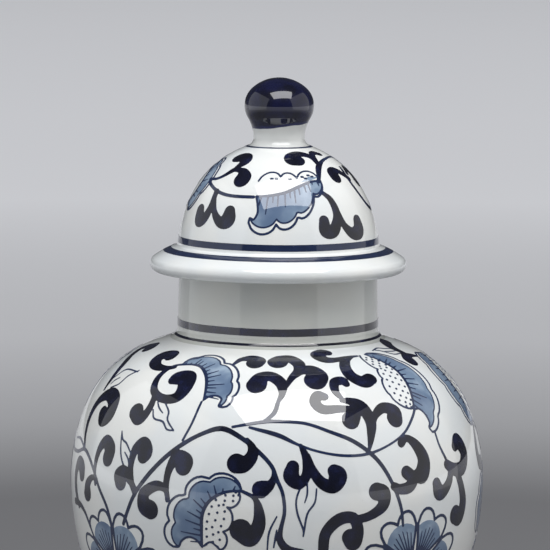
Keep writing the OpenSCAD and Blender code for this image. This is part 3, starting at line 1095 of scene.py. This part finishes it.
body_navy.stroke([(t, low_vine(t), 2.4) for t in range(-96, 97, 4)])
for k in range(2 * BENDS):
    turn = -86 + k * HALF_TURN / (2 * BENDS)
    up = 1 if k % 2 else -1
    start = low_vine(turn)
    for hand in (1, -1):
        body_navy.stroke([
            (turn, start, 1.6),
            (turn + hand * 2.2, start + up * 4.5, 2.8),
            (turn + hand * 5.5, start + up * 8, 4.2),
            (turn + hand * 9, start + up * 6.5, 5.6),
            (turn + hand * 8.5, start + up * 3.2, 7),
        ])
for turn, climb in ((-5, -42), (86, -40)):
    daisy(body_navy, body_wash, (turn, climb), 16, petals=6, tilt=0.2)
    for hand in (1, -1):
        body_navy.stroke([
            (turn + hand * 8, climb - 15, 1.8),
            (turn + hand * 15, climb - 12, 3.2),
            (turn + hand * 18, climb - 4, 5),
            (turn + hand * 16, climb + 2, 6.5),
            (turn + hand * 13, climb + 1, 7.5),
        ])
for climb, width in ((-105.5, 2.6), (-100.5, 1.3), (89.2, 1.3), (95.0, 3.4)):
    body_navy.ring(climb, width, load=4)

lay_paint("jar_cobalt_lines", body_navy, NAVY_LIFT, "jar", navy)
lay_paint("jar_cobalt_wash", body_wash, WASH_LIFT, "jar", washed)

# %% [markdown]
# ## Painting the lid
# The lid's sheet climbs from the foot of its dome to the stem of its knob. One flower hangs on it at
# the front, and the vine runs past it on both sides. Bands follow the dome's foot, the knob's stem and
# the brim's top.

# %% The lid's vine, flower and bands
STROKES_DOWN = 0.7
BRIM_BAND_HEIGHT = 218.6
lid_navy = Painting(lid_skin, float(lid_skin.climb[0]), float(lid_skin.climb[-1]) - 0.3, spacing=1.3)
lid_wash = Painting(lid_skin, 0, 56, spacing=1.3)
lid_strokes = [
    [(-64, 33, 1.4), (-55, 33.5, 1.6), (-49, 35.5, 2), (-43, 39, 3)],
    [(-43, 38.5, 2.5), (-39.5, 42, 3.5), (-36.5, 45.5, 5.5), (-40, 48, 6.5), (-46, 48, 7),
     (-51, 47, 5.5)],
    [(-42, 39.5, 2.5), (-36, 39.5, 3), (-31.5, 38.5, 4.5), (-29, 35.5, 7.5), (-29.5, 34, 8)],
    [(-62, 31.5, 1.6), (-50, 28, 1.6), (-40, 26, 1.6), (-30, 25.3, 1.6), (-17, 25.3, 1.6)],
    [(-47.5, 27, 3), (-47.3, 20, 3.5), (-50, 14.5, 5), (-55, 13, 7), (-57, 17.5, 5.5)],
    [(-47, 24, 2.5), (-43, 17, 3.2), (-37, 12.8, 5), (-32, 14, 7.5), (-31.5, 18, 5.5)],
    [(31, 33, 1.6), (38, 41, 3), (48, 45, 1.8), (60, 46.8, 1.4), (75, 47.5, 1.2), (90, 46, 1.2),
     (104, 41, 1.2)],
    [(41, 43, 2.5), (40, 48.5, 3.5), (33, 51, 4), (24, 51.5, 5), (16, 49.5, 6.5), (14, 47, 7),
     (20, 46.5, 7)],
    [(41, 45, 2.5), (45, 50.5, 3), (52, 52, 3.5), (60, 50.5, 3)],
    [(68, 33.5, 3), (62, 37, 3.5), (56, 39, 3.8), (51, 37.5, 6.5), (50.5, 35, 6.5)],
    [(70, 40, 2), (66, 33, 2), (69, 25, 2), (76, 19, 2), (85, 17, 2), (93, 20, 1.6)],
    [(31, 27.5, 2), (36, 23.5, 3.2), (38, 16, 4.5), (34, 9.5, 6), (28.5, 9.5, 6.5), (28, 14, 5)],
    [(38.5, 19, 2.5), (42, 11.5, 3.5), (48, 7.5, 5.5), (54, 8.5, 7.5), (54.5, 13, 5.5)],
    [(72, 36, 2), (79, 39, 4), (84, 36, 6), (82.5, 31.5, 7)],
]
for rows in lid_strokes:
    lid_navy.stroke([(turn, climb - STROKES_DOWN, width) for turn, climb, width in rows])

fan(lid_navy, lid_wash, [(33, 33), (24, 32.5), (14, 30), (4, 27), (-6, 25.5), (-15, 25)],
    [(33, 31), (24, 25.5), (11.5, 15.5), (-1.5, 12), (-18, 12.5)], bulge=0.18, gap=0.17, ribs=13,
    rib_length=0.6, foot=[(-13.5, 21), (-13, 17), (-15, 14)])
draw(lid_navy, scallops([(-15.5, 33), (1.5, 35.5), (14, 34.5), (32, 35)], 0.14), 0.9, smooth=False)
lid_wash.fill([(33, 35), (24, 33.2), (16, 32.4), (24, 35.5)])
for turn, climb in ((-6, 34.4), (-2.5, 34.4), (8, 34.2), (18, 35.4), (20.5, 34.4), (23.5, 36.2),
    (26.5, 35.4)):
    lid_navy.dab((turn, climb, 1.1), (turn + 1.2, climb, 1.1))
fan(lid_navy, lid_wash, [(-88, 38), (-81, 36.5), (-76, 31), (-77, 24), (-84, 18.5)],
    [(-85, 40.5), (-67, 40), (-60, 32), (-65, 24.5), (-80, 17.5)], bulge=0.18, gap=0.2, ribs=12)

for climb, width in ((1.2, 3.0), (56.8, 1.4), (lid_skin.climb_at(BRIM_BAND_HEIGHT) + 1.0, 4.0)):
    lid_navy.ring(climb, width, load=1.6, wobble=0.05)
lay_paint("lid_cobalt_lines", lid_navy, NAVY_LIFT, "lid", navy)
lay_paint("lid_cobalt_wash", lid_wash, WASH_LIFT, "lid", washed)

# %% [markdown]
# ## The knob's dipped cobalt
# The knob was held by its lid and dipped in cobalt up to a slanting line on its stem. Painting a mask
# on the one piece suits that better than a second skin, because the line is a simple height with a
# little wobble in it.

# %% Cobalt down to a slanting line
DIP_SLANT = 0.12
DIP_SHARE = 0.37


def dipped_knob():
    """White porcelain on the stem, and cobalt above a slanting, slightly wavy line."""
    material, tree, shader = new_finish("dipped_knob")
    knob_low, knob_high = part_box("knob")
    line = knob_low.z + (knob_high.z - knob_low.z) * DIP_SHARE
    place = add_node(tree, "ShaderNodeTexCoord").out("Object")
    axes = add_node(tree, "ShaderNodeSeparateXYZ", {}, {0: place})
    height = axes.out("Z") - axes.out("X") * DIP_SLANT + noise(tree, 7, detail=1) * (1.2 * MM)
    dip = limits(height, line + 0.5 * MM, line + 0.75 * MM)
    pooled = limits(noise(tree, 9, detail=2, shift=5.0), 0.4, 0.65)
    pigment = mix(pooled, colour(13, 17, 52), colour(7, 9, 30))
    thin_edge = limits(height, line + 0.6 * MM, line + 2.4 * MM)
    pigment = mix(thin_edge, colour(30, 38, 84), pigment)
    glaze_over(tree, shader, mix(dip, colour(212, 214, 212), pigment))
    return material


def finish(piece, material):
    """Gives a piece its one finish."""
    piece.data.materials.clear()
    piece.data.materials.append(material)


for piece in (lower, upper, dome):
    finish(piece, white_glaze)
# The neck wears the grey glaze that carries painted shade.
finish(neck, neck_painted_shade_glaze)
for piece in (foot, collar):
    finish(piece, raw_porcelain)
finish(knob, dipped_knob())

# %% [markdown]
# ## Floor, light and camera
# Gloss shows what stands round it more than what it is made of. The jar's grey panels are two large
# soft boxes, one at each side, and the pale patch on its shoulder is a third box above the lens. Area
# lights stand in for them. The camera is a long lens a little above the jar, which keeps the rim's
# ellipse flat.

# %% Floor
# Painted shade on the floor: its grey by distance from the jar in metres, dark near the jar and pale far
# away.
FLOOR_PAINTED_SHADE = [
    (0.42, 116), (0.62, 118), (0.92, 172), (1.4, 211), (2.0, 228), (2.75, 250), (4.3, 250), (11.0, 240),
]


def pale_floor():
    """A wide matt sweep of floor, its colour painted with shade: darker round the jar's foot, paler further
    out.
    """
    deselect()
    bpy.ops.mesh.primitive_circle_add(vertices=96, radius=14, fill_type="NGON", location=(0, 0, 0))
    floor = bpy.context.active_object
    floor.name = "floor"
    material, tree, shader = new_finish("matt_floor_painted_shade")
    place = add_node(tree, "ShaderNodeTexCoord").out("Object")
    away = add_node(tree, "ShaderNodeVectorMath", {"operation": "LENGTH"}, {0: place}).out("Value")
    stops = [(d / FLOOR_PAINTED_SHADE[-1][0], colour(v, v, v + 2)) for d, v in FLOOR_PAINTED_SHADE]
    share = away * (1 / FLOOR_PAINTED_SHADE[-1][0])
    tone = add_node(tree, "ShaderNodeValToRGB", {"stops": stops}, {"Fac": share})
    tree.links.new(tone.socket, shader.inputs["Base Color"])
    shader.inputs["Roughness"].default_value = 0.8
    shader.inputs["Specular IOR Level"].default_value = 0.1
    floor.data.materials.append(material)


pale_floor()

# %% Soft boxes and sky
JAR_MIDDLE = Vector((0, 0, 0.2))
SKY = [(0.0, 0.05), (0.18, 0.1), (0.3, 0.5), (0.6, 0.56), (0.72, 0.72), (1.0, 0.72)]
MIRRORED_SKY = (0.04, 0.042, 0.048, 1)


def soft_box(name, turn, rise, distance, width, height, glow, tint=(1, 1, 1)):
    """A soft box aimed at the jar: turn is degrees from the camera's side, positive to the right."""
    a, e = math.radians(turn), math.radians(rise)
    back = Vector((math.sin(a) * math.cos(e), -math.cos(a) * math.cos(e), math.sin(e)))
    lamp = bpy.data.lights.new(name, "AREA")
    lamp.shape, lamp.size, lamp.size_y = "RECTANGLE", width, height
    lamp.energy, lamp.color = glow * math.pi * width * height, tint
    holder = bpy.data.objects.new(name, lamp)
    bpy.context.scene.collection.objects.link(holder)
    holder.location = JAR_MIDDLE + back * distance
    holder.rotation_euler = (-back).to_track_quat("-Z", "Y").to_euler()
    holder.visible_camera = False


def sky():
    """A studio ceiling, dim at the sides and brighter overhead. Gloss mirrors a darker room instead."""
    world = bpy.data.worlds.new("studio")
    bpy.context.scene.world = world
    world.use_nodes = True
    tree = world.node_tree
    place = add_node(tree, "ShaderNodeTexCoord").out("Generated")
    rise = add_node(tree, "ShaderNodeSeparateXYZ", {}, {0: place}).out("Z")
    stops = [(z, (0.985 * v, v, 1.03 * v, 1)) for z, v in SKY]
    tone = add_node(tree, "ShaderNodeValToRGB", {"stops": stops}, {"Fac": rise})
    in_mirror = add_node(tree, "ShaderNodeLightPath").out("Is Glossy Ray")
    tone = mix(in_mirror, tone, MIRRORED_SKY)
    tree.links.new(tone.socket, tree.nodes["Background"].inputs["Color"])


soft_box("left_box", -83, 12, 1.1, 1.9, 1.5, 0.43, (0.97, 0.99, 1.0))
soft_box("right_box", 81, 12, 1.1, 1.65, 1.5, 0.45, (1.0, 0.99, 0.97))
soft_box("top_box", 13, 62, 1.0, 1.0, 0.64, 3.9)
sky()

# %% Camera
CAMERA_DISTANCE = 1.61
CAMERA_PITCH = math.radians(6.24)
CAMERA_ROLL = math.radians(-0.38)
CAMERA_LENS = 229
AIM = Vector((-0.0026, 0, 0.2067))

lens = bpy.data.cameras.new("camera")
lens.lens, lens.sensor_width = CAMERA_LENS, 36
lens.clip_end = 60
camera = bpy.data.objects.new("camera", lens)
bpy.context.scene.collection.objects.link(camera)
camera.location = AIM + CAMERA_DISTANCE * Vector((0, -math.cos(CAMERA_PITCH), math.sin(CAMERA_PITCH)))
camera.rotation_euler = (math.pi / 2 - CAMERA_PITCH, CAMERA_ROLL, 0)
bpy.context.scene.camera = camera
bpy.context.scene.view_settings.view_transform = "Standard"
